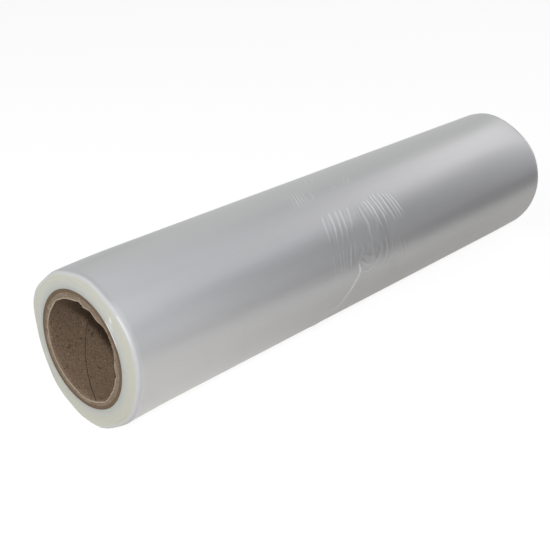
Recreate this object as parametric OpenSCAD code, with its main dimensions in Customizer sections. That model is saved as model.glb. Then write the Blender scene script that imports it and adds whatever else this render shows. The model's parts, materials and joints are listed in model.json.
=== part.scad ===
// A roll of clear stretch wrap, lying on its side on a spirally wound paperboard core.
// X runs along the roll, from the worn open end to the plain end, and Z is up.
// The origin is under the middle of the roll, on the surface that it lies on.
// Angles round the roll start at the side that faces -Y and grow upwards, so 90 is the top.

/* [Film] */
// Width of the film between the edges of its outer turns
film_w = 508; // [420:1:760]
// Thickness of the film wound on the core
film_wall = 14.25; // [10:0.25:40]
// How far the innermost turns stand out past the outer ones, at each end
dome_h = 1.8; // [0:0.1:5]
// Rounding of the outer turns at the worn open end
near_round = 2.6; // [1:0.1:5]
// Rounding of the outer turns at the plain end
far_round = 3.6; // [1:0.1:6]
// How often the step between bands of turns runs round each end face
face_turns = 7; // [3:1:8]
// Height of that step
turn_lip = 0.3; // [0.1:0.05:0.6]
// Height of the largest lumps in the outer turns at the two edges
lump_h = 2.4; // [0.2:0.1:2.8]
// How far along the roll the lumps fade out
lump_fade = 54; // [30:2:120]
// How far the lowest turns have slipped out at the open end
slip_out = 1.6; // [0:0.1:2.4]
// Width of the flat spot that the roll lies on
flat_w = 16; // [12:0.5:24]

/* [Ripples] */
// Distance from the film's open end to the middle of the ripples
ripple_at = 244; // [120:1:330]
// Angle round the roll of the middle of the ripples
ripple_turn = 12; // [0:1:30]
// Height of the ripples, from furrow to crest
ripple_h = 0.5; // [0.2:0.1:1.2]
// Number of ripples between the middle and the edge of the patch
ripple_count = 10; // [5:1:14]
// Reach of the ripples towards the open end
ripple_near = 50; // [30:1:60]
// Reach of the ripples towards the plain end
ripple_far = 54; // [40:1:80]
// Reach of the ripples down round the roll
ripple_down = 50; // [30:1:60]
// Reach of the ripples up round the roll
ripple_up = 60; // [45:1:90]
// How much the ripples lean in towards each other on their way up
ripple_lean = 0.3; // [0.1:0.05:0.5]

/* [Crease] */
// Height of the crease that runs down from the ripples in the outermost turn
crease_h = 0.5; // [0.2:0.1:1]
// Width of that crease
crease_w = 1.8; // [1:0.2:4]
// Distance from the middle of the ripples to its upper end, towards the open end
crease_off = 15; // [0:1:20]
// How far it creeps towards the open end in a quarter turn
crease_creep = 46; // [20:1:80]
// How far round the roll it runs
crease_turn = 78; // [40:2:82]

/* [Core] */
// Bore of the core, which fits a standard three inch spindle
core_bore_d = 76.2; // [70:0.1:80]
// Wall of the core
core_wall = 6.35; // [5:0.05:8]
// How far the core stands out past the innermost turns, at each end
core_proud = 0.3; // [0.1:0.1:6]
// Clearance all round between the core and the film wound on it
core_gap = 0.05; // [0.02:0.01:0.2]
// Part of the wall whose plies are torn at the open end
torn_wall = 3.6; // [2:0.1:4.5]
// Depth of the torn plies
torn_depth = 1.8; // [0.6:0.1:4]
// How much further the plies are torn away in the notch beside the film's gathered side
notch_depth = 1.6; // [0:0.1:2.2]
// Length of core in which the seam between the innermost plies goes round once
seam_lead = 118; // [90:1:180]
// Width of that seam
seam_w = 0.9; // [0.4:0.1:2]
// Depth of that seam
seam_depth = 0.5; // [0.3:0.1:1]
// Angle of the seam at the open end
seam_start = -75; // [-180:5:180]

/* [Hidden] */

bore_r = core_bore_d / 2;
core_r = bore_r + core_wall;
film_r = core_r + core_gap + film_wall;
core_len = film_w + 2 * (dome_h + core_proud);
axis_h = sqrt(film_r ^ 2 - (flat_w / 2) ^ 2);
mm_turn = film_r * PI / 180;

// Columns go once round the roll, from one edge of the flat spot to the other
cols = 60;
flat_half = asin(flat_w / 2 / film_r);
col_step = (360 - 2 * flat_half) / (cols - 1);
function col_angle(j) = -90 + flat_half + j * col_step;

// A smooth hill of height 1 that is lost in the level ground at a distance of 1
function hill(q) = abs(q) < 1 ? (1 - q * q) ^ 2 : 0;
// The shorter way round between two angles
function turn_between(a, b) = abs((a - b + 540) % 360 - 180);

// Lumps of the film's edges, near the open end and near the plain end:
// angle, share of the largest height and half width in degrees
near_lumps = [
    [160, 1, 24], [128, -0.6, 26], [100, -1.1, 24], [62, -0.85, 34],
    [20, 0.35, 28], [-40, 0.6, 24], [-84, 0.9, 34], [-122, 0.9, 30], [-163, -0.5, 34]
];
far_lumps = [[62, -0.85, 36], [-35, -0.3, 44]];
function lump(lumps, a, k = 0) = k == len(lumps) ? 0
    : lump_h * lumps[k][1] * hill(turn_between(a, lumps[k][0]) / lumps[k][2]) + lump(lumps, a, k + 1);

// Radius of the wound film at a distance from the open end and an angle
function skin_r(s, a) = film_r
    + lump(near_lumps, a) * max(0, 1 - s / lump_fade) ^ 2
    + lump(far_lumps, a) * max(0, 1 - (film_w - s) / lump_fade) ^ 2;
// How far the turns have slipped out of the open end, most at the bottom and least near the core
slip_at = -84;
slip_half = 33;
slip_fade = 30;
function slip(s, a) = slip_out * hill(turn_between(a, slip_at) / slip_half) * max(0, 1 - s / slip_fade) ^ 2;
// A point of the film, lifted to the flat spot where it would sag below it
function spot(s, r, a) = [s - film_w / 2, -r * cos(a), max(0, axis_h + r * sin(a))];

// End faces: a bore ring and an inner ring, then two lines that wind out to the rim as one spiral,
// the proud and the sunk edge of the step between bands of turns
face_flat = 0.8;
cut_spare = 1;
face_in = core_r + core_gap + face_flat;
face_cut = core_r - cut_spare;
face_n = face_turns * cols;
face_size = 2 * cols + 2 * (face_n - 1);
riser_w = 0.35;
function rim_r(end, a) = (end < 0 ? skin_r(0, a) - near_round : skin_r(film_w, a) - far_round);
function dome_s(end, q) = (end < 0 ? 0 : film_w) + end * dome_h * (1 - q ^ 1.5);
function spiral(end, m, low) =
    let (
        q = m / face_n,
        a = col_angle(m % cols),
        r = face_in + (rim_r(end, a) - face_in) * q + low * riser_w
    )
    spot(
        dome_s(end, q) - end * (low - 0.5) * turn_lip * min(1, 4 * (1 - q)) - (end < 0 ? slip(0, a) * q ^ 2 : 0),
        r, a
    );
function face_points(end) = concat(
    [for (j = [0 : cols - 1]) spot(dome_s(end, 0), face_cut, col_angle(j))],
    [for (j = [0 : cols - 1]) spot(dome_s(end, 0), face_in, col_angle(j))],
    [for (low = [0, 1], m = [1 : face_n - 1]) spiral(end, m, low)]
);

// Skin: rows along the roll from the rim of one face to the rim of the other
round_rows = 3;
rows_a = 8;
rows_b = 10;
rows_c = 5;
patch_s0 = ripple_at - ripple_near;
patch_s1 = ripple_at + ripple_far;
far_s = film_w - far_round;
function round_row(i, end) =
    let (t = 90 * i / round_rows)
    [(end < 0 ? 0 : film_w) - end * (end < 0 ? near_round : far_round) * (1 - cos(t)),
        -(end < 0 ? near_round : far_round) * (1 - sin(t))];
rows = concat(
    [for (i = [0 : round_rows - 1]) round_row(i, -1)],
    [for (i = [0 : rows_a - 1]) [near_round + (patch_s0 - near_round) * (i / rows_a) ^ 1.6, 0]],
    [for (i = [0 : rows_b - 1]) [patch_s0 + (patch_s1 - patch_s0) * i / rows_b, 0]],
    [for (i = [0 : rows_c]) [patch_s1 + (far_s - patch_s1) * i / rows_c, 0]],
    [for (i = [round_rows - 1 : -1 : 0]) round_row(i, 1)]
);
row_count = len(rows);
skin_points = [
    for (row = rows, j = [0 : cols - 1])
        let (a = col_angle(j))
        spot(row[0] - slip(row[0], a), skin_r(row[0], a) + row[1], a)
];

// Patch: rings that grow from the middle of the ripples to the opening left in the rows and columns
patch_r0 = round_rows + rows_a;
patch_r1 = patch_r0 + rows_b;
patch_c0 = round((ripple_turn - ripple_down / mm_turn - col_angle(0)) / col_step);
patch_c1 = round((ripple_turn + ripple_up / mm_turn - col_angle(0)) / col_step);
patch_edge = concat(
    [for (c = [patch_c0 : patch_c1 - 1]) [patch_r0, c]],
    [for (r = [patch_r0 : patch_r1 - 1]) [r, patch_c1]],
    [for (c = [patch_c1 : -1 : patch_c0 + 1]) [patch_r1, c]],
    [for (r = [patch_r1 : -1 : patch_r0 + 1]) [r, patch_c0]]
);
edge_n = len(patch_edge);
ring_n = 2 * ripple_count;
// The way from the middle to a point of the opening's edge, laid flat
function edge_way(i) = [
    rows[patch_edge[i][0]][0] - ripple_at,
    (col_angle(patch_edge[i][1]) - ripple_turn) * mm_turn
];
// The same way, cut off where the outermost ripple runs: round below the middle,
// and straight up on both sides above it, leaning in
ripple_end = 0.97;
function ripple_way(w) =
    let (
        along = w[0] < 0 ? ripple_near : ripple_far,
        reach = w[1] < 0 ? norm([w[0] / along, w[1] / ripple_down]) : (abs(w[0]) + ripple_lean * w[1]) / along
    )
    w * ripple_end / max(1, reach);
// Ripples die out below the middle, at their upper ends and on the way up between the two sides
die_down = 28;
die_up = 12;
die_between = 8;
function strength(w) =
    min(1, max(0, 1 + w[1] / die_down))
    * min(1, max(0, (ripple_up - w[1]) / die_up - 0.5))
    * (w[1] < die_between ? 1 : min(1, abs(w[0]) / die_between));
function ring_point(k, i) =
    let (
        t = k / ring_n,
        way = t * ((1 - t ^ 4) * ripple_way(edge_way(i)) + t ^ 4 * edge_way(i)),
        fade = min(1, 3 * t) * min(1, 2.4 * (1 - t)) * strength(way),
        crest = (k % 2 - 0.5) * ripple_h * fade,
        s = ripple_at + way[0],
        a = ripple_turn + way[1] / mm_turn
    )
    spot(s, skin_r(s, a) + crest, a);
patch_points = concat(
    [for (k = [1 : ring_n - 1], i = [0 : edge_n - 1]) ring_point(k, i)],
    [spot(ripple_at, skin_r(ripple_at, ripple_turn), ripple_turn)]
);

// Where each group of points starts in the whole list
near_0 = 0;
skin_0 = face_size;
far_0 = skin_0 + row_count * cols;
patch_0 = far_0 + face_size;
middle = patch_0 + (ring_n - 1) * edge_n;

// Numbers of the points
function on_skin(i, j) = skin_0 + i * cols + j % cols;
function on_spiral(end, m, low) =
    let (base = end < 0 ? near_0 : far_0, rim = end < 0 ? 0 : row_count - 1)
    m <= 0 ? base + cols
    : m >= face_n ? on_skin(rim, 0)
    : base + 2 * cols + low * (face_n - 1) + m - 1;
function on_patch(k, i) =
    k == 0 ? middle
    : k == ring_n ? on_skin(patch_edge[i % edge_n][0], patch_edge[i % edge_n][1])
    : patch_0 + (k - 1) * edge_n + i % edge_n;

// Two triangles over four corners, without the ones that have no width
function tri(a, b, c) = a == b || b == c || c == a ? [] : [[a, b, c]];
function quad(a, b, c, d, flip) = flip
    ? concat(tri(a, d, c), tri(a, c, b))
    : concat(tri(a, b, c), tri(a, c, d));
function flat(lists) = [for (l = lists) for (f = l) f];

function face_faces(end) =
    let (base = end < 0 ? near_0 : far_0, rim = end < 0 ? 0 : row_count - 1, flip = end > 0)
    concat(
        flat([for (j = [0 : cols - 1]) let (j1 = (j + 1) % cols)
            quad(base + j, base + j1, base + cols + j1, base + cols + j, flip)]),
        flat([for (j = [0 : cols - 1])
            quad(base + cols + j, base + cols + (j + 1) % cols,
                on_spiral(end, j + 1, 0), on_spiral(end, j, 0), flip)]),
        flat([for (m = [0 : face_n - 1])
            quad(on_spiral(end, m, 0), on_spiral(end, m + 1, 0),
                on_spiral(end, m + 1, 1), on_spiral(end, m, 1), flip)]),
        flat([for (m = [0 : face_n - cols - 1])
            quad(on_spiral(end, m, 1), on_spiral(end, m + 1, 1),
                on_spiral(end, m + 1 + cols, 0), on_spiral(end, m + cols, 0), flip)]),
        flat([for (j = [0 : cols - 1])
            quad(on_spiral(end, face_n - cols + j, 1), on_spiral(end, face_n - cols + j + 1, 1),
                on_skin(rim, j + 1), on_skin(rim, j), flip)])
    );
function in_patch(i, j) = i >= patch_r0 && i < patch_r1 && j >= patch_c0 && j < patch_c1;
skin_faces = flat([
    for (i = [0 : row_count - 2], j = [0 : cols - 1]) if (!in_patch(i, j))
        quad(on_skin(i, j), on_skin(i, j + 1), on_skin(i + 1, j + 1), on_skin(i + 1, j), false)
]);
patch_faces = flat([
    for (k = [0 : ring_n - 1], i = [0 : edge_n - 1])
        quad(on_patch(k, i), on_patch(k, i + 1), on_patch(k + 1, i + 1), on_patch(k + 1, i), false)
]);
bore_faces = flat([
    for (j = [0 : cols - 1]) let (j1 = (j + 1) % cols)
        quad(near_0 + j, far_0 + j, far_0 + j1, near_0 + j1, false)
]);

// The wound film before its bore is cut, ripples and all
module film_body() {
    polyhedron(
        points = concat(face_points(-1), skin_points, face_points(1), patch_points),
        faces = concat(face_faces(-1), skin_faces, face_faces(1), patch_faces, bore_faces)
    );
}

// Turns a shape that stands on Z so that it lies along the roll, from the open end of the core
module along_core() {
    translate([-core_len / 2, 0, axis_h]) rotate([0, 90, 0]) rotate(180) children();
}

// Crease: a low ridge, three points to a section, that rises from the film and sinks back into it
crease_n = ceil(crease_turn / 4);
crease_sink = 1.2;
crease_top = ripple_turn - 4;
crease_bow = 0.05;
function crease_section(k) =
    let (
        t = k / crease_n,
        h = crease_h * min(1, 0.1 + 4 * t, 0.1 + 3 * (1 - t)),
        half = crease_w / 2 * (h + crease_sink) / crease_h,
        a = crease_top - crease_turn * t,
        s = ripple_at - crease_off - crease_creep * crease_turn / 90 * (t - crease_bow * sin(180 * t))
    )
    [spot(s - half, film_r - crease_sink, a), spot(s, film_r + h, a), spot(s + half, film_r - crease_sink, a)];
module film_crease() {
    polyhedron(
        points = [for (k = [0 : crease_n], p = crease_section(k)) p],
        faces = concat(
            [[2, 1, 0], [for (i = [0 : 2]) 3 * crease_n + i]],
            flat([for (k = [0 : crease_n - 1], i = [0 : 2])
                quad(3 * k + i, 3 * k + 3 + i, 3 * k + 3 + (i + 1) % 3, 3 * k + (i + 1) % 3, true)])
        )
    );
}

// A round cutter that runs out past both ends of the core
module through(r) {
    translate([0, 0, -cut_spare]) cylinder(h = core_len + 2 * cut_spare, r = r, $fn = 120);
}

module film_roll() {
    color([0.8, 0.81, 0.82])
    difference() {
        union() {
            film_body();
            film_crease();
        }
        along_core() through(core_r + core_gap);
    }
}

// Torn plies: each group of plies ends in its own ragged outline, deeper towards the bore
torn_plies = 3;
torn_n = 90;
torn_rag = 0.9;
function rough(i, k) = let (v = 43.7 * sin(127.1 * i + 311.7 * k)) v - floor(v);
notch_at = 32;
notch_half = 24;
function torn_point(i, k) =
    let (
        a = 360 * i / torn_n,
        notch = notch_depth * hill(turn_between(a, notch_at) / notch_half),
        r = bore_r + torn_wall * (torn_plies - k) / torn_plies - torn_rag * rough(i, k) + (k > 0 ? notch : 0)
    )
    [r * sin(a), r * cos(a)];
module torn_plies_cut() {
    for (k = [0 : torn_plies - 1])
        translate([0, 0, -cut_spare])
            linear_extrude(height = cut_spare + torn_depth * (k + 1) / torn_plies)
                polygon([for (i = [0 : torn_n - 1]) torn_point(i, k)]);
}

// Seam: the gap between the edges of the innermost ply, which winds along the bore
seam_step = 8;
module seam_cut() {
    seam_turn = 360 * core_len / seam_lead;
    rotate(90 - seam_start)
        linear_extrude(height = core_len, twist = -seam_turn, slices = ceil(seam_turn / seam_step))
            translate([bore_r - cut_spare, -seam_w / 2]) square([cut_spare + seam_depth, seam_w]);
}

module core_tube() {
    color([0.52, 0.42, 0.33])
    along_core() difference() {
        cylinder(h = core_len, r = core_r, $fn = 120);
        through(bore_r);
        torn_plies_cut();
        seam_cut();
    }
}

film_roll();
core_tube();
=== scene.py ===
"""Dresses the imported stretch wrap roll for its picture: wound film, paperboard core, light and camera."""

import json
import math

import bpy
import numpy as np
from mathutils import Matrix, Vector


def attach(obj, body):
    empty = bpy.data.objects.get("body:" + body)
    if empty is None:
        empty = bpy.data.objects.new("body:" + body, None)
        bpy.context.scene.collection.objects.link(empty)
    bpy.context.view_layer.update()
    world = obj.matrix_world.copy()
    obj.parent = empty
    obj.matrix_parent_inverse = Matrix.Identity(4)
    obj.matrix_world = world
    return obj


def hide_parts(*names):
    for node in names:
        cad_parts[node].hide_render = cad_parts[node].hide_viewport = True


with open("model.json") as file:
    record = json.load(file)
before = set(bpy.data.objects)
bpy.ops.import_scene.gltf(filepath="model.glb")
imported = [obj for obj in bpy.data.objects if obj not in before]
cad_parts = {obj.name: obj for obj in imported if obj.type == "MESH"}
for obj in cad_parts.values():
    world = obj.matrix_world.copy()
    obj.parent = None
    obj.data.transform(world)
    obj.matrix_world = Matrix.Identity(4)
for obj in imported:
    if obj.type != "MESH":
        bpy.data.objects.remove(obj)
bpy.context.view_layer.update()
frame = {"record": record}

# Sizes of the part in mm. Along the roll, s is the distance from the open end of the film's outer turns.
# Angles are in degrees round the roll, 0 at the side that faces -Y and 90 at the top.
MM = 0.001
FILM_W = 508.0
FILM_R = 58.75
# Half the width of the flat spot that the roll has settled on
FLAT_HALF = 8.0
AXIS_H = math.sqrt(FILM_R**2 - FLAT_HALF**2)
CORE_R = 44.45
FILM_BORE_R = 44.5
BORE_R = frame["record"]["mounts"][0]["dims"]["r_mm"]
# How far the end faces bulge, and how far the core's ends stand out past the film's outer turns
DOME_H = 1.8
CORE_END = 2.1
# Radii of the rounded rims
NEAR_ROUND = 2.6
FAR_ROUND = 3.6
# Millimetres round the film for one degree
DEG_MM = FILM_R * math.pi / 180


# ---- shapes as numpy grids ----


def hill(q):
    """A smooth hill, (1 - q^2)^2 for q between -1 and 1 and level beyond."""
    return np.where(np.abs(q) < 1, (1 - q * q) ** 2, 0.0)


def smooth_step(q):
    """0 below 0, 1 above 1, and 3q^2 - 2q^3 between."""
    q = np.clip(q, 0, 1)
    return q * q * (3 - 2 * q)


def turn_between(a, b):
    """The signed shorter way from angle b to angle a, in degrees."""
    return (a - b + 180) % 360 - 180


def patch(s, angle, middle, reach):
    """A hill on the roll round a middle (s, angle), lost at its reach along and round the roll."""
    return hill((s - middle[0]) / reach[0]) * hill(turn_between(angle, middle[1]) / reach[1])


def soft_noise(x, y, seed, waves=14):
    """The sum of plane waves of seeded direction, length and phase: about -1 to 1, its grain about one."""
    rng = np.random.default_rng(seed)
    total = np.zeros(np.broadcast(x, y).shape)
    for _ in range(waves):
        way = rng.uniform(0, math.pi)
        turns = rng.uniform(0.5, 1.4)
        phase = rng.uniform(0, 2 * math.pi)
        along = x * math.cos(way) + y * math.sin(way)
        total = total + np.cos(2 * math.pi * turns * along + phase)
    return total / math.sqrt(2 * waves)


def on_roll(s, r, angle):
    """Points in metres for a distance s, a radius r and an angle, lifted to what the roll lies on."""
    a = np.radians(angle)
    x = (s - FILM_W / 2) + 0 * a
    y = -r * np.cos(a)
    z = np.maximum(AXIS_H + r * np.sin(a), 0.0)
    return np.stack(np.broadcast_arrays(x, y, z), -1) * MM


def closed_grid(name, points, values):
    """A closed skin over a grid of points whose rows and columns both run round and meet.

    Each point carries one number of every kind in values, for the material to read."""
    rows, cols = points.shape[:2]
    number = np.arange(rows * cols).reshape(rows, cols)
    down = np.roll(number, -1, 0)
    quads = np.stack([number, np.roll(number, -1, 1), np.roll(down, -1, 1), down], -1).reshape(-1, 4)
    flat = points.reshape(-1, 3)
    a, b, c, d = (flat[quads[:, k]] for k in range(4))
    volume = np.sum(a * np.cross(b - a, c - a)) + np.sum(a * np.cross(c - a, d - a))
    if volume < 0:
        quads = quads[:, ::-1]
    mesh = bpy.data.meshes.new(name)
    mesh.vertices.add(len(flat))
    mesh.vertices.foreach_set("co", flat.astype(np.float32).ravel())
    mesh.loops.add(quads.size)
    mesh.loops.foreach_set("vertex_index", quads.astype(np.int32).ravel())
    mesh.polygons.add(len(quads))
    mesh.polygons.foreach_set("loop_start", np.arange(0, quads.size, 4, dtype=np.int32))
    mesh.polygons.foreach_set("use_smooth", np.ones(len(quads), bool))
    for key, value in values.items():
        layer = mesh.attributes.new(key, "FLOAT", "POINT")
        layer.data.foreach_set("value", value.astype(np.float32).ravel())
    mesh.update()
    mesh.validate()
    piece = bpy.data.objects.new(name, mesh)
    bpy.context.scene.collection.objects.link(piece)
    return piece


def rounded_line(knots, rounds=3):
    """A line of points with its corners cut off a few times, keeping both ends."""
    line = np.array(knots, float)
    for _ in range(rounds):
        a, b = line[:-1], line[1:]
        cut = np.stack([0.75 * a + 0.25 * b, 0.25 * a + 0.75 * b], 1).reshape(-1, 2)
        line = np.concatenate([line[:1], cut, line[-1:]])
    return line


def ridge(s, angle, knots, height, width, fades):
    """A low ridge along a rounded line of (s, angle) knots, with a trough on each side.

    Its height is (1 - 1.2 q) e^-q, with q the squared distance over the squared width. It is lost over
    the given shares of its length at its two ends."""
    line = rounded_line(knots) * [1, DEG_MM]
    reach = 3.5 * width
    x, y = s, angle * DEG_MM
    near = (x > line[:, 0].min() - reach) & (x < line[:, 0].max() + reach)
    near &= (y > line[:, 1].min() - reach) & (y < line[:, 1].max() + reach)
    px, py = x[near], y[near]
    nearest = np.full(px.shape, 1e9)
    share = np.zeros(px.shape)
    steps = np.linalg.norm(np.diff(line, axis=0), axis=1)
    ends = np.concatenate([[0], np.cumsum(steps)]) / steps.sum()
    for k in range(len(steps)):
        a, way = line[k], line[k + 1] - line[k]
        t = np.clip(((px - a[0]) * way[0] + (py - a[1]) * way[1]) / (way @ way), 0, 1)
        distance = (px - a[0] - t * way[0]) ** 2 + (py - a[1] - t * way[1]) ** 2
        closer = distance < nearest
        nearest = np.where(closer, distance, nearest)
        share = np.where(closer, ends[k] + t * (ends[k + 1] - ends[k]), share)
    q = nearest / width**2
    fade = smooth_step(share / fades[0]) * smooth_step((1 - share) / fades[1])
    field = np.zeros(x.shape)
    field[near] = height * (1 - 1.2 * q) * np.exp(-q) * fade
    return field


# ---- the wound film ----

# Lumps of the film's edges, near the open end and near the plain end: angle, height and half width
NEAR_LUMPS = [
    (160, 2.34, 24),
    (128, -1.5, 26),
    (100, -2.7, 24),
    (62, -2.0, 34),
    (20, 0.8, 28),
    (-40, 1.44, 24),
    (-84, 2.1, 34),
    (-122, 2.1, 30),
    (-163, -1.11, 34),
]
FAR_LUMPS = [(62, -2.03, 36), (-35, -0.75, 44)]
# How far along the roll the lumps reach
NEAR_FADE = 54.4
FAR_FADE = 54.0
# The lowest turns have slipped out at the open end: how far, round which angle, half how wide, how deep
SLIP_OUT = 1.67
SLIP_AT = -84
SLIP_HALF = 33
SLIP_FADE = 30


def lump(lumps, angle):
    """The sum of hills of given angle, height and half width."""
    return sum(height * hill(turn_between(angle, at) / half) for at, height, half in lumps)


def skin_r(s, angle):
    """Radius of the wound film: round, with lumps that fade as the square of the distance left."""
    near = lump(NEAR_LUMPS, angle) * np.maximum(0, 1 - s / NEAR_FADE) ** 2
    far = lump(FAR_LUMPS, angle) * np.maximum(0, 1 - (FILM_W - s) / FAR_FADE) ** 2
    return FILM_R + near + far


def slip(s, angle):
    """How far the lowest turns have slipped out, fading inwards as the square of the distance left."""
    return SLIP_OUT * hill(turn_between(angle, SLIP_AT) / SLIP_HALF) * np.maximum(0, 1 - s / SLIP_FADE) ** 2


# Ripples of the gathered turns: height, width and the (s, angle) knots that each one runs through.
# The upper ones start sharply near the light streak and die out slowly downwards.
UPPER_RIPPLES = [
    (0.26, 1.30, [(207, 54), (204.8, 46), (203.8, 39.4), (202.8, 34), (201.4, 29), (200.5, 22)]),
    (0.15, 1.20, [(212, 52), (209.8, 46), (208.4, 39.4), (207.5, 33.3), (206.3, 26)]),
    (0.36, 1.30, [(216, 55), (214.5, 46), (213.1, 39.4), (211.3, 34), (209.7, 29), (207.5, 21)]),
    (0.36, 1.30, [(223, 55), (221, 46), (219.1, 38.8), (218.4, 35), (216.9, 31), (214, 22)]),
    (0.34, 1.30, [(228.3, 55), (226.6, 46), (225.3, 39.4), (224.4, 35), (222.5, 30), (220, 22)]),
    (0.14, 1.20, [(231.5, 50), (229.5, 44), (228, 37), (227, 31)]),
    (0.28, 1.30, [(237.5, 54), (234.8, 46), (232.8, 39.4), (231.6, 36.3), (229.4, 32.7), (226, 25)]),
    (0.10, 1.20, [(241.5, 48), (240, 42), (239, 36)]),
    (0.10, 1.20, [(245, 47), (244.5, 38), (245, 29)]),
    (0.26, 1.40, [(249.2, 51), (249, 45), (248.7, 41), (249.3, 36), (249.9, 32.5), (248.5, 28.5),
                  (249.2, 22), (250.5, 10)]),
    (0.17, 1.30, [(255.5, 54), (253.8, 49), (253.5, 45), (254.7, 40), (254.5, 33), (254, 24)]),
    (0.42, 1.30, [(256.8, 53), (258.5, 47), (259, 42), (259.7, 38), (259.8, 33), (259, 28)]),
    (0.46, 1.30, [(260.8, 54), (262.2, 47.5), (263, 43), (263.4, 38), (263.8, 32), (264.7, 26.5),
                  (265.5, 18)]),
    (0.10, 1.10, [(265.6, 50), (266.6, 43), (267.3, 36), (267.8, 28)]),
    (0.50, 1.30, [(267.8, 56), (268.3, 49), (269.3, 43.7), (270, 39.8), (270.9, 34.6), (271, 29),
                  (270.7, 24), (271.3, 18)]),
    (0.50, 1.30, [(271.5, 56), (272, 49), (273, 45), (273.4, 40), (273.9, 36), (275, 31), (276.5, 24)]),
    (0.10, 1.10, [(275, 52), (275.7, 45), (276.5, 38), (278, 30)]),
    (0.50, 1.30, [(277.2, 55), (278.5, 48), (278.8, 43), (279.4, 39), (280.4, 34.5), (281.7, 30),
                  (282, 25), (282.1, 18)]),
    (0.40, 1.30, [(281, 54), (283, 48), (284, 43), (284.5, 39), (285.8, 34), (286.4, 28), (286.6, 18)]),
    (0.50, 1.30, [(285, 53), (286.6, 46.5), (287.7, 42), (288.5, 38), (289.8, 33), (290.6, 28),
                  (291.5, 19)]),
    (0.44, 1.30, [(288.5, 51), (290.6, 44), (292, 41), (292.8, 37), (294.4, 32), (295.8, 27),
                  (297, 21)]),
    (0.12, 1.10, [(294, 47), (295.8, 41), (297.5, 35), (299.5, 28)]),
    (0.12, 1.80, [(261.5, 36), (259.8, 30), (258.4, 26), (256.8, 22), (255.8, 15)]),
]
# The lower ones are soft, and the last of them curl round the end of the crease.
LOWER_RIPPLES = [
    (0.08, 1.30, [(202, 24), (200.4, 17), (199.8, 12), (199.8, 7), (200.5, 0)]),
    (0.045, 1.25, [(205.5, 24), (203.3, 16), (202.3, 10), (203, 3)]),
    (0.08, 1.35, [(209.5, 25), (208, 17), (207.4, 11), (207, 6), (207.5, 0)]),
    (0.08, 1.25, [(214, 27), (212.5, 18), (211.4, 13), (211.3, 8), (212, 1)]),
    (0.08, 1.25, [(218.2, 27), (216.3, 18), (215, 13), (214.4, 8), (215.5, 1)]),
    (0.16, 1.25, [(224.5, 27), (222, 19.5), (220.4, 15.5), (219.3, 11), (219, 6), (220, 0)]),
    (0.09, 1.25, [(229.7, 29), (227.8, 23), (226.4, 19), (225, 11)]),
    (0.06, 1.25, [(231, 24), (229.2, 18), (228.4, 12)]),
    (0.28, 1.20, [(228, 1), (231.3, -1.3), (235, -2.5), (240, -3.2), (244.2, -2.1), (247, -0.6),
                  (250.8, 2.4), (255, 6)]),
    (0.16, 2.20, [(246, -1.5), (251, 2.6), (255, 5), (258.3, 8.4), (259.3, 12), (258, 19)]),
    (0.18, 1.70, [(258, -8), (261, -2), (263.3, 1.6), (265, 5.6), (265.9, 9), (265.8, 13), (265, 21)]),
    (0.11, 1.50, [(266, -8), (270, -2), (271.6, 3), (272.5, 7.5), (272.6, 11), (272, 19)]),
    (0.07, 1.40, [(277.5, -1), (278, 5.6), (278, 10.5), (277.6, 18)]),
    (0.10, 1.40, [(281.5, 18), (282.5, 10.5), (283.4, 6.4), (285, 3), (286.3, -1.7), (287.2, -6),
                  (288, -13)]),
    (0.11, 1.40, [(286.8, 18), (288.3, 9), (289.6, 5.6), (290.8, 1.5), (291.7, -2.5), (293, -7.4),
                  (294.3, -13), (296.5, -21)]),
    (0.12, 1.20, [(231, 13), (234.2, 10.7), (238.3, 10.1), (241.7, 8.5), (246.5, 5.8)]),
    (0.15, 1.20, [(229.5, 11), (231.7, 8.1), (234.2, 5.6), (237.5, 3.2), (241, 1.6), (245, 3)]),
    (0.12, 1.80, [(247.3, 19), (247.9, 11), (246.6, 7), (244, 2)]),
    (0.12, 1.30, [(229, 9), (233, 12.7), (236.7, 16.2), (239, 21)]),
]
# Faint ones, far up on the side of the roll.
FAINT_RIPPLES = [
    (0.18, 1.10, [(191.5, 64), (194.5, 71), (198, 78), (201.5, 85), (206, 93)]),
    (0.32, 1.10, [(195, 64), (198, 71), (201, 77), (204.5, 84), (209, 92)]),
    (0.32, 1.10, [(198.5, 64), (201.3, 71), (204.3, 77), (208, 84), (212, 91)]),
    (0.27, 1.10, [(202, 65), (204.8, 71), (208, 78), (211.5, 85), (215, 91)]),
    (0.22, 1.10, [(206, 66), (209, 73), (212, 79), (215.5, 86)]),
    (0.22, 1.10, [(212.5, 66), (216, 72), (219, 78), (222, 84)]),
    (0.19, 1.10, [(237, 67), (241, 73), (244, 77.5), (247, 83)]),
    (0.19, 1.10, [(241, 67), (245, 74), (248, 79), (251, 84)]),
    (0.19, 1.10, [(254, 72), (259, 76), (263, 79.5), (267, 83)]),
    (0.19, 1.10, [(257, 70), (262, 74.5), (266, 78), (270, 82)]),
    (0.19, 1.10, [(227, 88), (231.5, 93), (235, 96), (238, 99)]),
    (0.19, 1.10, [(232.5, 86), (237, 91), (240.5, 94), (244, 98)]),
]
# Each group with the shares of a ripple's length over which it starts and dies out
RIPPLE_GROUPS = [
    (UPPER_RIPPLES, (0.14, 0.75)),
    (LOWER_RIPPLES, (0.3, 0.35)),
    (FAINT_RIPPLES, (0.35, 0.4)),
]

# The loose end of the film lies down as a thin raised line, the crease: its (s, angle) knots
CREASE = [
    (232, 12), (229, 8.5), (228.6, 5), (230.3, 0.5), (223.7, -10), (216.4, -20), (210, -30), (203, -40),
    (194, -54), (184.5, -72), (181, -79),
]
CREASE_W = 1.2
CREASE_H = 0.4
CREASE_FADES = (0.1, 0.06)


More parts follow.
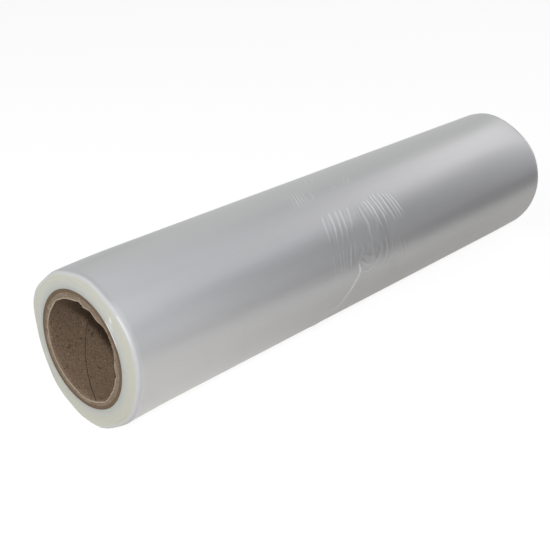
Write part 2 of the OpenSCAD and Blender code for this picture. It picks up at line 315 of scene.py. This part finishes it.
def film_relief(s, angle):
    """Height of the outer turn over the round roll in mm: the ripples, and slack film round them."""
    s, angle = np.broadcast_arrays(s, angle)
    round_mm = angle * DEG_MM
    field = np.zeros(s.shape)
    for ripples, fades in RIPPLE_GROUPS:
        for height, width, knots in ripples:
            field += ridge(s, angle, knots, height, width, fades)
    field += 0.05 * patch(s, angle, (240, 12), (22, 18)) * soft_noise(s / 6, round_mm / 6, 11)
    field += 0.05 * patch(s, angle, (250, 25), (90, 60)) * soft_noise(s / 30, round_mm / 30, 12)
    field += 0.02 * soft_noise(s / 150, round_mm / 40, 13)
    return field


# The rippled side, where the film's rows and columns stand close together: from and to
FINE_S = (186, 304)
FINE_ANGLE = (-80, 106)
ROW_STEP = 0.75
COLUMN_STEP = 1.05
WIDE_COLUMN_STEP = 3.0


def film_columns():
    """Angles of the film's columns: close together on the rippled side and wide apart elsewhere."""
    low, high = FINE_ANGLE
    fine = np.arange(low, high, COLUMN_STEP)
    coarse = np.arange(high, low + 358.5, WIDE_COLUMN_STEP)
    return np.concatenate([fine, coarse])


def film_rows():
    """Distances of the rows between the two rims: close together along the ripples, and at the open end."""
    start, end = FINE_S
    near = NEAR_ROUND + (start - NEAR_ROUND) * (np.arange(1, 36) / 35) ** 1.5
    rippled = np.arange(start + ROW_STEP, end, ROW_STEP)
    far = end + (FILM_W - FAR_ROUND - end) * np.arange(0, 34) / 33
    return np.concatenate([near, rippled, far])


# How far outwards the bands of turns on an end face go in one turn
BAND_STEP = 2.04


def face_relief(r, angle, seed):
    """The edges of the turns on an end face, in mm: soft noise that winds outwards, coarse and fine."""
    turns = (r - FILM_BORE_R) / BAND_STEP + angle / 360
    bands = soft_noise(turns * 1.3, 0.6 * np.cos(np.radians(angle)), seed)
    fine = soft_noise(turns * 4.5, 1.0 * np.sin(np.radians(angle)), seed + 1)
    return 0.10 * bands + 0.045 * fine


# Slack patches of the near face, painted with faint highlights: strength, radius and half width, angle and
# half reach
FACE_SLACK_PAINTED_GLINTS = [(0.35, 47.2, 2.2, 41, 7), (0.40, 50.8, 1.8, -153.7, 5), (0.30, 48.6, 1.5, -141.4, 6)]


def face_gloss_and_painted_glints(r, angle):
    """Where the turns' edges are pressed flat, glossier and painted with highlights: a line along the core,
    a speck, slack patches.
    """
    # Each mark below is a painted highlight: the material lightens it to near white and also makes it
    # smoother.
    line = hill((r - 44.9) / 0.8) * smooth_step((angle - 17) / 12) * smooth_step((50 - angle) / 8)
    speck = hill((r - 50.4 - 0.35 * (angle - 45)) / 1.1) * hill((angle - 45) / 3.4)
    slack = sum(
        strength * hill((r - at_r) / half) * hill(turn_between(angle, at) / reach)
        for strength, at_r, half, at, reach in FACE_SLACK_PAINTED_GLINTS
    )
    return np.maximum(np.maximum(line, speck), slack)


def near_face_extras(r, angle, q):
    """What stands out from the open end only, in mm.

    A glossy lip where the innermost turns cling to the core, a fold across the turns beside it, and the
    slip of the lowest turns, which grows as the square of the share q from the bore to the rim."""
    lip = 0.35 * hill((r - 45.0) / 0.6) * hill(turn_between(angle, 30) / 16)
    fold = 0.40 * hill((r - 49.5) / 4.6) * hill(turn_between(angle, 44.5) / 1.6)
    return lip + fold + slip(0, angle) * q**2


def make_film():
    """The wound film as one closed skin: out over the near face, along, over the far face and back.

    Its material reads four numbers: distance from the film's edge (below 0 on an end face), gloss with
    painted highlights, height of the ripples, and how near the top of the roll is, where less light is
    painted near the edges."""
    angle = film_columns()
    nearness_to_top = 1 + 4 * hill(turn_between(angle, 92) / 48)
    rows, edge, gloss_and_painted_highlight, raised = [], [], [], []

    def add(s, r, from_edge, gloss_and_painted_glint=0.0, relief=0.0):
        rows.append(on_roll(s, r, angle))
        edge.append(np.broadcast_to(from_edge, angle.shape))
        gloss_and_painted_highlight.append(np.broadcast_to(gloss_and_painted_glint, angle.shape))
        raised.append(np.broadcast_to(relief, angle.shape))

    def dome(r, q, seed):
        return DOME_H * (1 - q**1.5) + face_relief(r, angle, seed) * min(1, 8 * (1 - q))

    near_rim = skin_r(0, angle) - NEAR_ROUND
    for q in np.linspace(0, 1, 76):
        r = FILM_BORE_R + (near_rim - FILM_BORE_R) * q
        add(-(dome(r, q, 4) + near_face_extras(r, angle, q)), r, r - near_rim, face_gloss_and_painted_glints(r, angle))
    for t in np.linspace(0, math.pi / 2, 13)[1:]:
        s = NEAR_ROUND * (1 - math.cos(t))
        # A painted highlight along the near rim's shoulder, where the key lamp glints, between about 17 and
        # 46 degrees round.
        lit = smooth_step((angle - 17) / 16) * smooth_step((46 - angle) / 3)
        line = 0.8 * hill((t - 0.66) / 0.30) * lit
        add(s - slip(s, angle), skin_r(s, angle) - NEAR_ROUND * (1 - math.sin(t)), s, line)
    for s in film_rows():
        crease = ridge(s + 0 * angle, angle, CREASE, 1.0, CREASE_W, CREASE_FADES)
        relief = film_relief(s + 0 * angle, angle)
        r = skin_r(s, angle) + relief + CREASE_H * crease * smooth_step((angle + 54) / 8)
        # A painted highlight along the crest of the crease, lost low down on the roll's side.
        gloss_and_painted_glint = 0.85 * np.maximum(crease, 0) * smooth_step((angle + 70) / 8)
        add(s - slip(s, angle), r, min(s, FILM_W - s), gloss_and_painted_glint, relief)
    for t in np.linspace(math.pi / 2, 0, 7)[1:]:
        s = FILM_W - FAR_ROUND * (1 - math.cos(t))
        add(s, skin_r(s, angle) - FAR_ROUND * (1 - math.sin(t)), FILM_W - s)
    far_rim = skin_r(FILM_W, angle) - FAR_ROUND
    for q in np.linspace(1, 0, 34)[1:]:
        r = FILM_BORE_R + (far_rim - FILM_BORE_R) * q
        add(FILM_W + dome(r, q, 6), r, r - far_rim)
    for s in np.linspace(FILM_W, 0, 9)[1:-1]:
        add(s, FILM_BORE_R, -FILM_R)
    values = {"from_edge": edge, "gloss_and_painted_highlight": gloss_and_painted_highlight, "raised": raised, "nearness_to_top": [nearness_to_top] * len(rows)}
    return closed_grid("film_skin", np.array(rows), {key: np.array(value) for key, value in values.items()})


# ---- the paperboard core ----

# The seam of the innermost ply: its angle at the open end, and the length in which it goes round once
SEAM_START = -74.8
SEAM_LEAD = 118.6
# The ragged lip where the inner plies are torn off at the open end: angle and radius
TORN_LIP = [
    (-180, 38.8), (-170, 38.8), (-160, 38.85), (-150, 39.1), (-140, 39.1), (-130, 38.85), (-120, 38.7),
    (-110, 38.6), (-107, 38.5), (-100, 39.3), (-95, 39.8), (-90, 39.5), (-85, 39.1), (-80, 39.1),
    (-75, 38.8), (-70, 38.85), (-60, 38.9), (-55, 39.6), (-50, 39.1), (-45, 38.4), (-37, 37.9),
    (-30, 37.7), (-20, 37.6), (-14, 37.3), (-8, 38.7), (-3, 37.4), (0, 36.7), (5, 37.0), (10, 38.0),
    (15, 38.5), (20, 39.15), (25, 39.6), (30, 39.8), (37, 40.0), (41, 40.0), (45, 39.4), (50, 38.25),
    (53, 36.9), (57, 36.7), (60, 36.8), (65, 37.6), (68, 37.5), (72, 36.7), (77, 36.0), (79, 35.7),
    (82, 37.05), (87, 38.2), (90, 37.35), (93, 36.8), (100, 36.9), (105, 37.1), (110, 37.25),
    (115, 37.45), (120, 37.5), (125, 37.7), (130, 38.2), (133, 38.65), (138, 37.65), (145, 37.65),
    (150, 37.9), (160, 38.3), (170, 38.8), (175, 39.1),
]
# Radii of the torn plies' outer edge and of the sound wall's last ring
TORN_R = 41.3
SOUND_R = 42.0
# Columns beside the seam, as angles from its middle: its groove, its raised edges and the wall next to them
SEAM_SIDE = [-1.9, -1.05, -0.9, 0.9, 1.05, 1.6, 2.2]


def seam_turn(s):
    """Angle of the seam between the edges of the innermost ply at a distance from the open end."""
    return SEAM_START - 360 * np.clip(s, 0, FILM_W) / SEAM_LEAD


def seam_marks(off_seam):
    """-1 in the seam's groove, 1 on its raised edge and 0 elsewhere."""
    edge = (off_seam > 1.0) & (off_seam < 2.0)
    return np.where(np.abs(off_seam) < 1.0, -1.0, np.where(edge, 1.0, 0.0))


def lip_radius(angle):
    """Radius of the torn lip: the drawn course, with two grains of soft noise."""
    lip_angle, lip_r = np.array(TORN_LIP).T
    lip = np.interp(angle, lip_angle, lip_r, period=360)
    return lip + 0.22 * soft_noise(angle * 0.3, 0, 21) + 0.10 * soft_noise(angle * 0.9, 0, 22)


def make_core():
    """The core as one closed skin whose columns follow the seam down the bore and come back outside.

    Its material reads the ply: 0 for the sound end face, 1 to 2 over the torn plies, 3 for the bore."""
    off_seam = np.concatenate([SEAM_SIDE, np.arange(3.2, 357.6, 1.2)])
    seam = seam_marks(off_seam)
    rows, plies, marks = [], [], []

    def add(s, r, angle, ply):
        rows.append(on_roll(s, r, angle))
        plies.append(np.broadcast_to(ply, off_seam.shape))
        marks.append(seam if ply >= 3 else 0 * seam)

    start = off_seam + seam_turn(0)
    lip = lip_radius(start)
    # End face, from the outer wall inwards
    for r, deep in ((CORE_R, 0.35), (CORE_R - 0.12, 0.08), (CORE_R - 0.4, 0.0)):
        add(deep - CORE_END, r, start, 0)
    for r in np.linspace(CORE_R - 0.8, SOUND_R, 6):
        add(0.06 * soft_noise(start * 0.25, r, 23) - CORE_END, r, start, 0)
    # The step down to the torn plies, and the plies up to the lip
    for r, deep in ((41.9, 0.12), (41.75, 0.3), (41.6, 0.34), (41.45, 0.2)):
        add(deep + 0.05 * soft_noise(start * 0.2, r, 24) - CORE_END, r, start, 1)
    for q in np.linspace(0, 1, 10):
        r = TORN_R + (lip - TORN_R) * q
        slow = 0.15 * soft_noise(start * 0.16, r * 0.9, 25)
        quick = 0.13 * soft_noise(start * 0.5, r * 2, 26)
        add(0.15 + 0.2 * q + (slow + quick) * min(1, 4 * q + 0.2) - CORE_END, r, start, 1 + q)
    # The lip's thin edge, and back under it to the bore
    burr = np.maximum(BORE_R - lip, 0)
    flare = np.maximum(lip - BORE_R, 0)
    add(0.5 - CORE_END, lip - 0.10, start, 2)
    add(0.8 - CORE_END, lip - 0.04, start, 2.1)
    add(1.2 - CORE_END, lip + 0.4 * burr, start, 2.9)
    groove = 0.5 * (seam < 0) - 0.12 * (seam > 0)
    deep_end = np.linspace(130, FILM_W + CORE_END - 0.8, 110)
    for s in np.concatenate([[-0.4, 0.1], np.arange(0.8, 130, 1.6), deep_end]):
        angle = off_seam + seam_turn(s)
        deep = s + CORE_END
        wall = 0.05 * soft_noise(s / 9, angle / 14, 27) + 0.03 * soft_noise(s / 3, angle / 5, 28)
        wall = wall + groove * min(1, deep / 4)
        wall = wall + flare * max(0, 1 - deep / 6) ** 2 - 0.5 * burr * max(0, 1 - deep / 2.5)
        add(s, BORE_R + wall, angle, 3)
    # The plain end, and back along the outside
    back = seam_turn(FILM_W)
    plain_end = ((BORE_R + 0.3, 0.15), (BORE_R + 1, 0.0), (41.5, 0.0), (CORE_R - 0.5, 0.0), (CORE_R, 0.4))
    for r, deep in plain_end:
        add(FILM_W + CORE_END - deep, r, off_seam + back, 0)
    left = (seam_turn(0) - back) % 360
    for q in np.linspace(0, 1, 42)[1:-1]:
        add(FILM_W * (1 - q), CORE_R, off_seam + back + left * q, 0)
    return closed_grid("core_skin", np.array(rows), {"ply": np.array(plies), "seam": np.array(marks)})


# ---- materials ----


def srgb(r, g, b):
    """A colour written as 0 to 255 on the screen, as linear light with full cover."""
    return (*((c / 255 / 12.92) if c < 10.3 else ((c / 255 + 0.055) / 1.055) ** 2.4 for c in (r, g, b)), 1)


class Shader:
    """Short calls for building one material's nodes."""

    def __init__(self, name):
        self.material = bpy.data.materials.new(name)
        self.material.use_nodes = True
        self.tree = self.material.node_tree
        self.tree.nodes.clear()
        self.output = self.new("ShaderNodeOutputMaterial")

    def new(self, kind, **settings):
        node = self.tree.nodes.new(kind)
        for key, value in settings.items():
            setattr(node, key, value)
        return node

    def put(self, socket, value):
        """Links an output to a socket, or sets the socket's own value."""
        if isinstance(value, bpy.types.NodeSocket):
            self.tree.links.new(value, socket)
        else:
            socket.default_value = value

    def math(self, what, *values):
        node = self.new("ShaderNodeMath", operation=what)
        for k, value in enumerate(values):
            self.put(node.inputs[k], value)
        return node.outputs[0]

    def spread(self, value, low, high, to_low=0.0, to_high=1.0):
        """Carries low..high over to to_low..to_high, smoothly and no further."""
        node = self.new("ShaderNodeMapRange", interpolation_type="SMOOTHSTEP")
        for k, v in enumerate((value, low, high, to_low, to_high)):
            self.put(node.inputs[k], v)
        return node.outputs[0]

    def mix(self, share, a, b):
        node = self.new("ShaderNodeMix", data_type="RGBA")
        self.put(node.inputs[0], share)
        self.put(node.inputs[6], a)
        self.put(node.inputs[7], b)
        return node.outputs[2]

    def attribute(self, name):
        return self.new("ShaderNodeAttribute", attribute_name=name).outputs["Fac"]

    def coordinates(self):
        return self.new("ShaderNodeTexCoord").outputs["Object"]

    def noise(self, scale, stretch=(1, 1, 1), detail=2.0, rough=0.5):
        """Noise on Object coordinates, stretched."""
        place = self.new("ShaderNodeMapping")
        self.put(place.inputs["Vector"], self.coordinates())
        self.put(place.inputs["Scale"], stretch)
        node = self.new("ShaderNodeTexNoise")
        self.put(node.inputs["Vector"], place.outputs[0])
        self.put(node.inputs["Scale"], scale)
        self.put(node.inputs["Detail"], detail)
        self.put(node.inputs["Roughness"], rough)
        return node.outputs["Fac"]

    def waves(self, value, times, wobble, amount):
        """The sine of a value times a number, pushed along by a noise."""
        push = self.math("MULTIPLY", wobble, amount)
        return self.math("SINE", self.math("ADD", self.math("MULTIPLY", value, times), push))

    def radius(self):
        """Distance from the roll's axis in mm."""
        split = self.new("ShaderNodeSeparateXYZ")
        self.put(split.inputs[0], self.coordinates())
        up = self.math("SUBTRACT", split.outputs[2], AXIS_H * MM)
        across = self.math("MULTIPLY", split.outputs[1], split.outputs[1])
        both = self.math("ADD", across, self.math("MULTIPLY", up, up))
        return self.math("MULTIPLY", self.math("SQRT", both), 1 / MM)

    def steps(self, value, stops):
        """A colour ramp over stops of (value, colour)."""
        low, high = stops[0][0], stops[-1][0]
        node = self.new("ShaderNodeValToRGB")
        share = self.new("ShaderNodeMapRange")
        for k, v in enumerate((value, low, high, 0.0, 1.0)):
            self.put(share.inputs[k], v)
        self.put(node.inputs[0], share.outputs[0])
        ramp = node.color_ramp
        while len(ramp.elements) < len(stops):
            ramp.elements.new(0.5)
        for k, (at, colour) in enumerate(stops):
            ramp.elements[k].position = (at - low) / (high - low)
            ramp.elements[k].color = colour
        return node.outputs[0]

    def bump(self, height, strength, distance):
        node = self.new("ShaderNodeBump")
        self.put(node.inputs["Height"], height)
        self.put(node.inputs["Strength"], strength)
        self.put(node.inputs["Distance"], distance)
        return node.outputs[0]

    def surface(self, **inputs):
        node = self.new("ShaderNodeBsdfPrincipled")
        for key, value in inputs.items():
            self.put(node.inputs[key.replace("_", " ")], value)
        self.put(self.output.inputs["Surface"], node.outputs[0])
        return self.material


# Milky colours of the end faces, from the core's edge to the rim
FACE_TONES = [
    (44.5, srgb(176, 181, 178)),
    (46.0, srgb(186, 188, 182)),
    (48.0, srgb(194, 196, 190)),
    (51.0, srgb(200, 200, 189)),
    (57.0, srgb(202, 202, 190)),
    (59.0, srgb(206, 207, 202)),
]


def end_face_colour(sh):
    """Milky green-grey in rings, with slightly darker bands of turns."""
    radius = sh.radius()
    face = sh.steps(radius, FACE_TONES)
    bands = sh.waves(radius, 4.6, sh.noise(60), 9.0)
    return sh.mix(sh.spread(bands, -1.0, 1.0, 0.0, 0.07), face, srgb(150, 152, 146))


def outer_turn_colour(sh, streak, edge):
    """Silvery film, with painted highlights on the ripples' crests and painted shade in their furrows, and
    towards the edges a milkier colour that is partly painted light, with a painted highlight band inside
    the rim.
    """
    raised = sh.attribute("raised")
    nearness_to_top = sh.attribute("nearness_to_top")
    not_on_top = sh.spread(nearness_to_top, 1.0, 2.0, 1.0, 0.0)
    body = sh.mix(sh.spread(streak, 0.3, 0.7), srgb(197.5, 198.5, 202), srgb(199, 200, 203))
    # Painted highlights on the ripples' crests and painted shade in their furrows, by the ripple height.
    body = sh.mix(sh.spread(raised, 0.0, 0.36, 0.0, 0.6), body, srgb(232, 233, 234))
    body = sh.mix(sh.spread(raised, 0.0, -0.12, 0.0, 0.5), body, srgb(158, 159, 161))
    # Towards the film's edges the colour is lightened: partly the film's own milkiness, partly painted
    # light let in through the end faces. Less of it is painted near the top.
    wide_haze_and_painted_light = sh.math("MULTIPLY", sh.spread(edge, 4.0, 110.0, 0.28, 0.0), not_on_top)
    body = sh.mix(wide_haze_and_painted_light, body, srgb(216, 217, 220))
    haze_and_painted_light = sh.spread(sh.math("MULTIPLY", nearness_to_top, edge), 0.8, 7.0, 1.0, 0.0)
    body = sh.mix(haze_and_painted_light, body, srgb(208, 209, 212))
    # A painted highlight: a light band a few mm inside each rim, left off near the top.
    rim = sh.math("MULTIPLY", sh.spread(edge, 0.5, 2.2, 0.0, 0.36), sh.spread(edge, 2.6, 6.2, 1.0, 0.0))
    return sh.mix(sh.math("MULTIPLY", rim, not_on_top), body, srgb(240, 241, 244))


def film_material():
    """Satin film: half metallic away from its edges, for the deep reflections of many clear turns."""
    sh = Shader("wound_film")
    edge = sh.attribute("from_edge")
    gloss_and_painted_highlight = sh.attribute("gloss_and_painted_highlight")
    streak = sh.noise(420, (0.02, 1, 1), 2.0)
    on_body = sh.spread(edge, -0.6, 0.8)
    colour = sh.mix(on_body, end_face_colour(sh), outer_turn_colour(sh, streak, edge))
    # Painted highlights: the marked glints are lightened to near white; the next line makes them smoother
    # too.
    colour = sh.mix(gloss_and_painted_highlight, colour, srgb(244, 245, 248))
    metal = sh.spread(edge, 1.2, 6.0, 0.0, 0.5)
    rough = sh.math("SUBTRACT", sh.spread(edge, 1.0, 5.0, 0.55, 0.38), sh.math("MULTIPLY", gloss_and_painted_highlight, 0.25))
    bump = sh.bump(streak, 0.03, 0.0003)
    return sh.surface(Base_Color=colour, Metallic=metal, Roughness=rough, IOR=1.5, Normal=bump)


def bore_wall_colour(sh, fibre):
    """Grey-brown board with light and dark fibres and specks, and the dark seam with its light edge."""
    speck = sh.noise(700, (1, 1, 1), 2.0, 0.5)
    big_speck = sh.noise(300, (1, 1, 1), 1.0, 0.5)
    seam = sh.attribute("seam")
    wall = sh.mix(sh.spread(fibre, 0.35, 0.65), srgb(120, 100, 82), srgb(146, 125, 104))
    wall = sh.mix(sh.spread(speck, 0.64, 0.72), wall, srgb(172, 154, 132))
    wall = sh.mix(sh.spread(speck, 0.35, 0.28), wall, srgb(74, 58, 46))
    wall = sh.mix(sh.spread(big_speck, 0.31, 0.26, 0.0, 0.6), wall, srgb(66, 52, 41))
    wall = sh.mix(sh.spread(seam, 0.2, 1.0, 0.0, 0.5), wall, srgb(166, 146, 124))
    return sh.mix(sh.spread(seam, -0.3, -0.9, 0.0, 0.85), wall, srgb(40, 31, 25))


def torn_ply_colour(sh, fibre):
    """The layered band of torn plies: light and dark patches, and dark rings where one ply ends."""
    rings = sh.waves(sh.radius(), 6.6, fibre, 3.0)
    patches = sh.noise(260, (1, 1, 1), 4.0, 0.6)
    band = sh.mix(sh.spread(fibre, 0.35, 0.65), srgb(126, 112, 94), srgb(152, 138, 120))
    band = sh.mix(sh.spread(patches, 0.52, 0.66, 0.0, 0.5), band, srgb(98, 82, 66))
    band = sh.mix(sh.spread(patches, 0.46, 0.34, 0.0, 0.5), band, srgb(176, 160, 140))
    return sh.mix(sh.spread(rings, 0.0, 0.9, 0.0, 0.55), band, srgb(92, 76, 60))


def paperboard_material():
    """Matte board, told apart by ply: sound ring, torn band, light lip and the wall of the bore."""
    sh = Shader("core_paperboard")
    ply = sh.attribute("ply")
    fibre = sh.noise(800, (1, 1, 1), 4.0, 0.65)
    ring = sh.mix(sh.spread(fibre, 0.35, 0.65), srgb(98, 80, 63), srgb(119, 99, 80))
    colour = sh.mix(sh.spread(ply, 0.2, 0.9), ring, torn_ply_colour(sh, fibre))
    colour = sh.mix(sh.spread(ply, 1.72, 1.95), colour, srgb(186, 170, 150))
    colour = sh.mix(sh.spread(ply, 2.3, 2.9), colour, bore_wall_colour(sh, fibre))
    return sh.surface(Base_Color=colour, Roughness=0.9, Normal=sh.bump(fibre, 0.5, 0.0006))


# ---- stage: surroundings, floor, lamps, cards and camera ----

# Brightness of the surroundings for scattered light. The camera and reflections see them as white.
AMBIENT = 0.2
# The floor: how light it is for scattered light, and for the camera its own white and the part that is lit
FLOOR_LIT = 0.8
FLOOR_GLOW = 0.87
FLOOR_SEEN_LIT = 0.28
# Where the lamps and hung cards look, in metres
MIDDLE = (0.0, 0.0, 0.058)
# The camera that the photo's perspective gives: place in metres, lens and sensor in mm, angles in degrees
CAMERA_PLACE = (-0.59655, -0.50795, 0.40029)
CAMERA_LENS = 65.252
CAMERA_SENSOR = 36
CAMERA_DOWN = 25.524
CAMERA_TURN = 46.455

# Lamps: direction and height in degrees, distance and size in metres, brightness and colour, and whether
# reflections see it. The end light would burn out the top of the film in them.
LAMPS = {
    "far_light": (-1.5, 34.5, 1.8, (0.96, 0.45), 1.22, (1, 0.94, 0.92), True),
    "side_strip": (-68, 14, 1.6, (0.42, 0.86), 0.33, (1, 1, 1), True),
    "back_light": (140, 36, 1.8, (1.4, 1.2), 0.3, (1, 1, 1), True),
    "key": (-134.4, 35.0, 1.934, (0.12, 0.12), 278.0, (1, 1, 1), True),
    "end_light": (175, 20, 1.8, (0.9, 0.7), 4.6, (1, 1, 1), False),
}
# Cards that only reflections see: direction, height, distance, size, how dense, and black or a clear tint
BLACK = None
GREEN_GREY = (0.86, 0.875, 0.82)
WARM = (1.0, 0.965, 0.90)
HUNG_CARDS = {
    "side_card": (-44.3, 17.5, 1.5, (0.84, 1.15), 1.0, BLACK),
    "upper_card": (0, 48, 1.5, (1.7, 0.40), 0.56, BLACK),
    "far_card": (46, 25, 1.5, (1.95, 1.7), 1.0, GREEN_GREY),
    "back_card": (74, 8, 1.5, (0.9, 0.8), 0.25, BLACK),
}
# Width of a hung card's soft edges, as a share of its size
HUNG_SOFT = 0.2
# The same, lying on the floor: middle, size, how dense, width of the soft edges, and black or a clear tint
FLOOR_CARDS = {
    "floor_card_near": ((1.4, -0.045, 0.001), (3.2, 0.20), 0.38, (0.25, 0.075), BLACK),
    "floor_card_wide": ((1.5, -0.75, 0.001), (3.2, 1.30), 1.0, (0.4, 0.08), BLACK),
    "floor_warmth": ((0.9, -1.1, 0.002), (5.0, 2.6), 1.0, (0.4, 0.2), WARM),
}


def seen_as_background(tree):
    """1 for what the camera, a reflection or a clear layer sees, and 0 for scattered light."""
    path = tree.nodes.new("ShaderNodeLightPath")
    one = tree.nodes.new("ShaderNodeMath")
    two = tree.nodes.new("ShaderNodeMath")
    one.operation = two.operation = "MAXIMUM"
    tree.links.new(path.outputs["Is Camera Ray"], one.inputs[0])
    tree.links.new(path.outputs["Is Glossy Ray"], one.inputs[1])
    tree.links.new(one.outputs[0], two.inputs[0])
    tree.links.new(path.outputs["Is Transmission Ray"], two.inputs[1])
    return two.outputs[0]


def make_surroundings():
    """White to look at, and dim as a source of scattered light."""
    world = bpy.data.worlds.new("studio")
    world.use_nodes = True
    tree = world.node_tree
    tree.nodes.clear()
    white = tree.nodes.new("ShaderNodeBackground")
    ambient = tree.nodes.new("ShaderNodeBackground")
    ambient.inputs["Strength"].default_value = AMBIENT
    mix = tree.nodes.new("ShaderNodeMixShader")
    out = tree.nodes.new("ShaderNodeOutputWorld")
    for node in (white, ambient):
        node.inputs["Color"].default_value = (1, 1, 1, 1)
    tree.links.new(seen_as_background(tree), mix.inputs[0])
    tree.links.new(ambient.outputs[0], mix.inputs[1])
    tree.links.new(white.outputs[0], mix.inputs[2])
    tree.links.new(mix.outputs[0], out.inputs[0])
    bpy.context.scene.world = world


def aim(location, target):
    """Angles that turn a lamp or a card from a place towards a target."""
    way = Vector(target) - Vector(location)
    return way.to_track_quat("-Z", "Y").to_euler()


def around(azimuth, elevation, distance):
    """The place at a direction, height and distance from the middle of the roll."""
    a, e = math.radians(azimuth), math.radians(elevation)
    return (
        MIDDLE[0] + distance * math.cos(e) * math.cos(a),
        MIDDLE[1] + distance * math.cos(e) * math.sin(a),
        MIDDLE[2] + distance * math.sin(e),
    )


def flat_card(name, size, location, facing=None):
    """A flat oblong, lying on the floor or facing a point."""
    w, h = size
    corners = [(-w / 2, -h / 2, 0), (w / 2, -h / 2, 0), (w / 2, h / 2, 0), (-w / 2, h / 2, 0)]
    mesh = bpy.data.meshes.new(name)
    mesh.from_pydata(corners, [], [(0, 1, 2, 3)])
    card = bpy.data.objects.new(name, mesh)
    card.location = location
    if facing is not None:
        card.rotation_euler = aim(location, facing)
    bpy.context.scene.collection.objects.link(card)
    return card


def make_floor():
    """A pale floor with the roll's soft shadow, which the camera and reflections see as nearly white."""
    sh = Shader("pale_floor")
    lit = sh.new("ShaderNodeBsdfDiffuse")
    sh.put(lit.inputs["Color"], (FLOOR_LIT, FLOOR_LIT, FLOOR_LIT, 1))
    pale = sh.new("ShaderNodeBsdfDiffuse")
    sh.put(pale.inputs["Color"], (FLOOR_SEEN_LIT, FLOOR_SEEN_LIT, FLOOR_SEEN_LIT, 1))
    glow = sh.new("ShaderNodeEmission")
    sh.put(glow.inputs["Strength"], FLOOR_GLOW)
    seen = sh.new("ShaderNodeAddShader")
    sh.put(seen.inputs[0], pale.outputs[0])
    sh.put(seen.inputs[1], glow.outputs[0])
    mix = sh.new("ShaderNodeMixShader")
    sh.put(mix.inputs[0], seen_as_background(sh.tree))
    sh.put(mix.inputs[1], lit.outputs[0])
    sh.put(mix.inputs[2], seen.outputs[0])
    sh.put(sh.output.inputs["Surface"], mix.outputs[0])
    flat_card("floor", (9, 9), (0, 0, 0)).data.materials.append(sh.material)


def make_lamps():
    """Soft area lamps that the camera doesn't see, each as bright as its number over its whole face."""
    for name, (azimuth, elevation, distance, size, bright, colour, mirrored) in LAMPS.items():
        lamp = bpy.data.lights.new(name, "AREA")
        lamp.shape = "RECTANGLE"
        lamp.size, lamp.size_y = size
        lamp.energy = bright * math.pi * size[0] * size[1]
        lamp.color = colour
        holder = bpy.data.objects.new(name, lamp)
        holder.location = around(azimuth, elevation, distance)
        holder.rotation_euler = aim(holder.location, MIDDLE)
        holder.visible_camera = False
        holder.visible_glossy = mirrored
        bpy.context.scene.collection.objects.link(holder)


def card_material(name, size, dense, soft, tint):
    """Black, or a clear tint, with soft edges: from nothing to full over the given widths at each side."""
    sh = Shader(name)
    split = sh.new("ShaderNodeSeparateXYZ")
    sh.put(split.inputs[0], sh.coordinates())
    share = dense
    for k in (0, 1):
        inside = sh.math("SUBTRACT", size[k] / 2, sh.math("ABSOLUTE", split.outputs[k]))
        share = sh.math("MULTIPLY", sh.spread(inside, 0.0, soft[k]), share)
    if tint is BLACK:
        card = sh.new("ShaderNodeBsdfDiffuse")
        sh.put(card.inputs["Color"], (0.004, 0.004, 0.004, 1))
    else:
        card = sh.new("ShaderNodeBsdfTransparent")
        sh.put(card.inputs["Color"], (*tint, 1))
    clear = sh.new("ShaderNodeBsdfTransparent")
    mix = sh.new("ShaderNodeMixShader")
    sh.put(mix.inputs[0], share)
    sh.put(mix.inputs[1], clear.outputs[0])
    sh.put(mix.inputs[2], card.outputs[0])
    sh.put(sh.output.inputs["Surface"], mix.outputs[0])
    return sh.material


def make_cards():
    """The hung cards and those on the floor, which cast no shadow and light nothing."""
    cards = []
    for name, (azimuth, elevation, distance, size, dense, tint) in HUNG_CARDS.items():
        card = flat_card(name, size, around(azimuth, elevation, distance), MIDDLE)
        soft = (HUNG_SOFT * size[0], HUNG_SOFT * size[1])
        card.data.materials.append(card_material(name, size, dense, soft, tint))
        cards.append(card)
    for name, (place, size, dense, soft, tint) in FLOOR_CARDS.items():
        card = flat_card(name, size, place)
        card.data.materials.append(card_material(name, size, dense, soft, tint))
        cards.append(card)
    for card in cards:
        card.visible_camera = card.visible_diffuse = card.visible_shadow = card.visible_transmission = False


def make_camera():
    """The camera where the perspective of the photo puts it, level from side to side."""
    camera = bpy.data.cameras.new("camera")
    camera.lens = CAMERA_LENS
    camera.sensor_width = CAMERA_SENSOR
    camera.clip_start = 0.01
    camera.clip_end = 50
    holder = bpy.data.objects.new("camera", camera)
    holder.location = CAMERA_PLACE
    holder.rotation_euler = (math.radians(90 - CAMERA_DOWN), 0, math.radians(-CAMERA_TURN))
    bpy.context.scene.collection.objects.link(holder)
    bpy.context.scene.camera = holder


# ---- put together ----

film = make_film()
film.data.materials.append(film_material())
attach(film, "root")
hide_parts("film_roll")

core = make_core()
core.data.materials.append(paperboard_material())
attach(core, "root")
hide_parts("core_tube")

make_surroundings()
make_floor()
make_lamps()
make_cards()
make_camera()
bpy.context.scene.view_settings.view_transform = "Standard"
